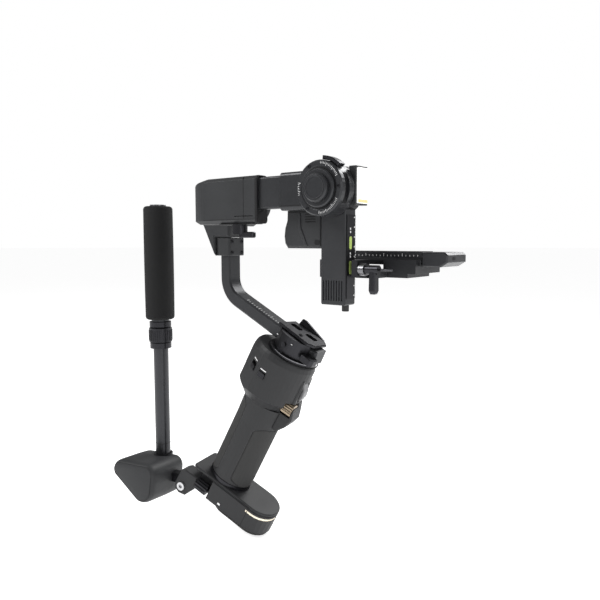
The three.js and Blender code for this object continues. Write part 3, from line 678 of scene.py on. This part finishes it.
@dataclass(frozen=True)
class RollArm:
    """Trim of the roll housing, the bar's clamp and the tilt motor."""

    places: Places
    tilt: Point = (95, -97, 161)

    def build(self) -> None:
        """Makes the housing's rim, the black plate painted as shade under the housing by the lock, and the
        motor's ring.
        """
        self.housing_trim()
        self.clamp_trim()
        self.motor_ring()

    def housing_trim(self) -> None:
        """The black rim at the housing's front end and the panel lines round it."""
        side = self.places.level.facing("x")
        outer = rounded((-91.5 - PROUD, -75.5 + PROUD), (131.5 - PROUD, 178 + PROUD), 3.6)
        inner = rounded((-89, -78), (144, 177), 2)
        rim = Maker(side)
        low = [rim.mesh.verts.new(side.at((x, y, 15.2))) for x, y in outer]
        high = [rim.mesh.verts.new(side.at((x, y, 18.2))) for x, y in outer]
        hole = [rim.mesh.verts.new(side.at((x, y, 18.2))) for x, y in inner]
        back = [rim.mesh.verts.new(side.at((x, y, 15.2))) for x, y in inner]
        count = len(outer)
        for first, second in ((low, high), (high, hole), (hole, back), (back, low)):
            for j in range(count):
                k = (j + 1) % count
                rim.mesh.faces.new((first[j], first[k], second[k], second[j]))
        rim.done("housing_rim", GAP_BLACK, "roll_body", 0.3)
        near = self.places.level.facing("-y")
        for name, x, y in (
            ("housing_lower_line", (-56, 15), (135.6, 136)),
            ("housing_end_line", (0.2, 0.7), (136, 177)),
        ):
            Maker(near).box(x, y, (91, 91.5 + PROUD)).done(name, GAP_BLACK, "roll_body")
        # A thin black plate just under the housing round the bar's lock: painted shade where the housing's
        # underside falls dark.
        under = [(-34, -90), (12, -90), (14, -86), (14, -78), (-30, -78), (-34, -82)]
        Maker(self.places.level).prism(under, 130.9, 131.6).done("lock_painted_shade", GAP_BLACK, "roll_body", 0.2)

    def clamp_trim(self) -> None:
        """The dark split low in the bar's end clamp."""
        near = self.places.level.facing("-y")
        split = Maker(near).box((46.5, 71), (146.4, 147.4), (91.2, 91.5 + PROUD))
        split.done("clamp_split", GAP_BLACK, "roll_slider")

    def motor_ring(self) -> None:
        """The ticks, screws and dark grooves on the tilt motor's face, and a black plate painted as the shade
        in the gap beside it.
        """
        face = self.places.level.moved(self.tilt).facing("-y")
        ticks = Maker(face)
        for start, count in ((28, 15), (-88, 16), (166, 8)):
            for i in range(count):
                place = face.turned(start + 4 * i)
                long = 2.6 if i % 5 == 0 else 1.6
                ticks.place = place
                ticks.box((22.8 - long, 22.8), (-0.2, 0.2), (-0.1, PROUD))
        ticks.done("motor_ticks", WHITE, "roll_slider")
        for i, degrees in enumerate((2, 118, 236)):
            place = face.turned(degrees).moved((21.4, 0, 0))
            socket_screw(place, 1.5, f"motor_screw_{i}", "roll_slider")
        cap = self.places.level.moved((self.tilt[0], self.tilt[1] - 6.4, self.tilt[2])).facing("-y")
        dish = [(9.3, -0.1), (10.1, -0.1), (10.1, 0.35), (9.3, 0.35), (9.3, -0.1)]
        Maker(cap).lathe(dish, 64).done("cap_ring", ALLOY, "roll_slider")
        # A black plate beside the motor: painted shade in the gap between the stator and the rotor's side.
        recess = self.places.level.moved(self.tilt)
        dark = Maker(recess).box((20.8, 21.2), (6.2, 12.8), (-13.8, 12.8))
        dark.done("motor_gap_painted_shade", GAP_BLACK, "roll_slider")
        groove = [(17.4, -0.7), (18.5, -0.7), (18.5, -0.45), (17.4, -0.45), (17.4, -0.7)]
        Maker(face).lathe(groove, 72).done("motor_groove", GAP_BLACK, "roll_slider")
        floor = [(13.1, -2.3), (16, -2.3), (16, -2.05), (13.1, -2.05), (13.1, -2.3)]
        Maker(face).lathe(floor, 72).done("motor_dish", GAP_BLACK, "roll_slider")


@dataclass(frozen=True)
class TiltArm:
    """Scale, marks and light of the vertical arm, and the rear module's surface."""

    places: Places
    body: str = "tilt_body"
    strip: float = 109.9
    middle: float = -65.5

    def build(self) -> None:
        """Makes the arm's printed scale, the lit panel's warm strip and the module's details."""
        self.scale()
        self.light()
        self.module()

    def scale(self) -> None:
        """The white line of dots and the two lime windows on the arm's front."""
        front = self.places.level.facing("x")
        dots = Maker(front)
        edge = self.middle + 5.2
        for i in range(9):
            z = 64 + 9 * i
            dots.place = front.moved((edge, z, self.strip))
            dots.lathe([(0, PROUD), (0.75, PROUD), (0.75, -0.2), (0, -0.2)], 14)
        dots.done("post_dots", WHITE, self.body)
        ticks = Maker(front)
        proud = (self.strip - 0.2, self.strip + PROUD)
        for i in range(28):
            z = 62 + 2.6 * i
            ticks.box((self.middle + 6.6, self.middle + 7.3), (z, z + 1.5), proud)
        ticks.done("post_line", WHITE, self.body)
        for i, z in enumerate((106.5, 84)):
            window = rounded((self.middle - 3.4, self.middle + 0.6), (z, z + 12), 1.9)
            lime = Maker(front).prism(window, self.strip - 0.2, self.strip + 0.3)
            lime.done(f"lime_window_{i}", LIME, self.body)
        for i, z in enumerate((121.5, 124.5, 99, 102)):
            dash = Maker(front).box((self.middle - 2.2, self.middle - 0.8), (z, z + 2), proud)
            dash.done(f"window_dash_{i}", WHITE, self.body)

    def light(self) -> None:
        """The warm strip behind the diffuser."""
        front = self.places.level.facing("x")
        Maker(front).prism(rounded((-73, -57), (148.6, 151.4), 0.8), 121.3, 121.7).done(
            "warm_strip", WARM, self.body
        )

    def module(self) -> None:
        """The ridge, vents and socket on the rear module's near side."""
        near = self.places.level.facing("-y")
        ridge = [(53, 141), (56.4, 141), (57.2, 127), (65, 110), (61.5, 110), (53.8, 126)]
        Maker(near).prism(ridge, 71.6, 73).done("module_ridge", SHELL, self.body, 0.5)
        vents = Maker(near)
        for i in range(4):
            vents.box((62, 74), (139 - 2.4 * i, 140 - 2.4 * i), (71.8, 72 + PROUD))
        vents.done("module_vents", GAP_BLACK, self.body)
        hole = near.moved((76, 113, 72))
        socket = Maker(hole).prism(rounded((-3, 3), (-2.4, 2.4), 1.4), -0.3, PROUD)
        socket.done("module_socket", GAP_BLACK, self.body)


@dataclass(frozen=True)
class CameraPlate:
    """Pads and scale of the sliding camera plate."""

    places: Places
    body: str = "plate_slider"
    top: float = 103.8

    def build(self) -> None:
        """Makes the rubber strips, the side scale and the nose's dark slot."""
        here = self.places.level
        for i, (low, high) in enumerate(((-16.5, -8), (8, 16.5))):
            Maker(here).prism(rounded((62, 154), (low, high), 2.5), self.top - 0.2, self.top + 0.5).done(
                f"plate_strip_{i}", RUBBER, self.body, 0.2
            )
        near = here.facing("-y")
        ticks = Maker(near)
        for i in range(20):
            x = 78 + 4 * i
            high = 102.6 if i % 5 == 0 else 101.2
            ticks.box((x, x + 0.5), (99.6, high), (19.4, 19.6 + PROUD))
        ticks.done("plate_ticks", WHITE, self.body)
        Maker(here.facing("x")).prism(rounded((-11, -4), (96.4, 99.6), 1.5), 184.8, 185 + PROUD).done(
            "nose_slot", GAP_BLACK, self.body
        )


@dataclass(frozen=True)
class WristRest:
    """The soft wrist pad and the foam handle of the sling."""

    places: Places
    near: float = -41
    far: float = 24
    middle: float = 25
    dip: float = 6
    tube: Point = (-112, 15, 0)

    def corner_outline(self, shrink: float) -> list[Pair]:
        """The pad's section: a triangle with round corners, drawn in x and z.

        Args:
            shrink: how far the outline is drawn in all round, in millimetres.

        Returns:
            The outline's points.
        """
        outline: list[Pair] = []
        for x, z, radius, start, end in (
            (-138, 37.5, 12, 90, 233),
            (-103, 17, 16.5, 233, 357),
            (-98.5, 36.5, 13, -3, 90),
        ):
            outline += arc((x, z), radius - shrink, start, end, 14)
        return outline

    def dipped(self, point: Point) -> Point:
        """A point of the pad, turned down towards the pad's far end."""
        along, up = point[1] - self.near, point[2] - self.middle
        cosine, sine = math.cos(math.radians(self.dip)), math.sin(math.radians(self.dip))
        return (point[0], self.near + along * cosine + up * sine, self.middle - along * sine + up * cosine)

    def pad(self) -> bpy.types.Object:
        """The crowned pad: its ends draw in and its near end carries a shallow groove."""
        steps = (
            (self.far, 5.2),
            (self.far - 0.8, 2.6),
            (self.far - 3, 0.7),
            (self.far - 7, 0),
            (0, -0.35),
            (self.near + 9, 0),
            (self.near + 6, 0.2),
            (self.near + 3.4, 0.8),
            (self.near + 1.6, 1.7),
            (self.near + 0.5, 2.6),
            (self.near + 0.3, 2.9),
            (self.near + 0.9, 3.1),
            (self.near + 0.9, 3.6),
            (self.near + 0.2, 3.8),
            (self.near, 4.4),
        )
        rings = [[self.dipped((x, y, z)) for x, z in self.corner_outline(shrink)] for y, shrink in steps]
        return Maker(self.places.wrist).loft(rings).done("soft_wrist_pad", PAD, "wrist_rest")

    def foam(self) -> bpy.types.Object:
        """The foam sleeve, with a softly pressed-in end and a faint swell at its middle."""
        low, high = 224, 368
        inner = 7.6
        profile = [(inner, low + 0.3), (15.6, low), (17.4, low + 1), (18.3, low + 3.2)]
        for i in range(9):
            swell = 0.25 * math.sin(math.pi * i / 8)
            profile.append((18.3 + swell, low + 4 + (high - low - 8) * i / 8))
        profile += [(18.2, high - 3), (17.2, high - 1), (15.4, high), (10.4, high - 0.3), (inner, high - 2.8)]
        profile.append(profile[0])
        sleeve = Maker(self.places.wrist.moved(self.tube)).lathe(profile, 64)
        return sleeve.done("foam_sleeve", FOAM, "sling_grip")

    def collar_ribs(self) -> None:
        """The ribs round the twist collar."""
        here = self.places.wrist.moved(self.tube)
        ribs = Maker(here)
        count = 30
        for i in range(count):
            ribs.place = here.turned(360 * i / count)
            ribs.box((13.9, 15.1), (-0.75, 0.75), (196.5, 210.5))
        ribs.done("collar_ribs", DARK, "twist_collar", 0.25)
        seam = [(9.6, 60), (9.75, 60), (9.75, 60.4), (9.6, 60.4), (9.6, 60)]
        Maker(here).lathe(seam, 48).done("tube_line", GAP_BLACK, "wrist_rest")

    def build(self) -> None:
        """Makes the pad, the foam and the collar's ribs."""
        pad = self.pad()
        smooth_soft(pad)
        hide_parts("wrist_pad")
        foam = self.foam()
        smooth_soft(foam)
        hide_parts("foam_grip")
        self.collar_ribs()


def smooth_soft(piece: bpy.types.Object) -> None:
    """Shades a soft piece smooth."""
    piece.data.polygons.foreach_set("use_smooth", [True] * len(piece.data.polygons))
    piece.data.set_sharp_from_angle(angle=math.radians(50))


# ---------- stage ----------


@dataclass(frozen=True)
class Studio:
    """The floor, the soft lights and the camera."""

    target: Point = (0.0921, 0.0205, 0.2581)
    eye: Point = (0.4965, -0.5161, 0.3228)
    reach: float = 40.0
    ambient: float = 0.28

    def build(self) -> None:
        """Makes the stage and sets the scene's camera."""
        self.floor()
        self.light("key_light", (-0.9, -1.1, 1.5), 0.8, 22)
        self.light("fill_light", (1.5, -0.4, 0.7), 0.6, 5)
        self.light("rim_light", (0.3, 1.3, 1.3), 0.9, 20)
        self.camera()
        self.surroundings()
        bpy.context.scene.view_settings.view_transform = "Standard"

    def surroundings(self) -> None:
        """A white surround that lights the object less strongly than it shows."""
        world = bpy.data.worlds.new("soft_white")
        world.use_nodes = True
        tree = world.node_tree
        back = tree.nodes["Background"]
        back.inputs["Color"].default_value = (1, 1, 1, 1)
        rays = tree.nodes.new("ShaderNodeLightPath")
        strength = tree.nodes.new("ShaderNodeMapRange")
        strength.inputs["To Min"].default_value = self.ambient
        tree.links.new(rays.outputs["Is Camera Ray"], strength.inputs["Value"])
        tree.links.new(strength.outputs["Result"], back.inputs["Strength"])
        bpy.context.scene.world = world

    def floor(self) -> None:
        """A wide pale disc under the object."""
        mesh = bmesh.new()
        bmesh.ops.create_circle(mesh, cap_ends=True, radius=self.reach, segments=96)
        data = bpy.data.meshes.new("floor")
        mesh.to_mesh(data)
        mesh.free()
        floor = bpy.data.objects.new("floor", data)
        floor.location.z = CAD_BOX[0][2] - 0.0005
        bpy.context.scene.collection.objects.link(floor)
        data.materials.append(
            Finish("pale_floor", (0.9, 0.9, 0.9), 0.9, 0, Grain.SMOOTH, 60, 0.0, 0, 0.01, glow=0.8).material()
        )

    def light(self, name: str, place: Point, size: float, power: float) -> None:
        """A square soft light that looks at the object."""
        data = bpy.data.lights.new(name, "AREA")
        data.size = size
        data.energy = power
        lamp = bpy.data.objects.new(name, data)
        lamp.location = place
        lamp.rotation_euler = (Vector(self.target) - Vector(place)).to_track_quat("-Z", "Y").to_euler()
        bpy.context.scene.collection.objects.link(lamp)

    def camera(self) -> None:
        """The camera at the object's near front left."""
        data = bpy.data.cameras.new("camera")
        data.lens = 36
        data.sensor_width = 36
        data.clip_start = 0.01
        eye = bpy.data.objects.new("camera", data)
        eye.location = self.eye
        eye.rotation_euler = (Vector(self.target) - Vector(self.eye)).to_track_quat("-Z", "Y").to_euler()
        bpy.context.scene.collection.objects.link(eye)
        bpy.context.scene.camera = eye


def main() -> None:
    """Builds the object and its stage."""
    logging.basicConfig(level=logging.INFO, format="%(message)s")
    places = Places.of_the_frame()
    Studio().build()
    Coating().dress()
    for assembly in (
        Handle(places),
        PanClamp(places),
        LowerArm(places),
        RollArm(places),
        TiltArm(places),
        CameraPlate(places),
        WristRest(places),
    ):
        assembly.build()


if __name__ == "__main__":
    main()
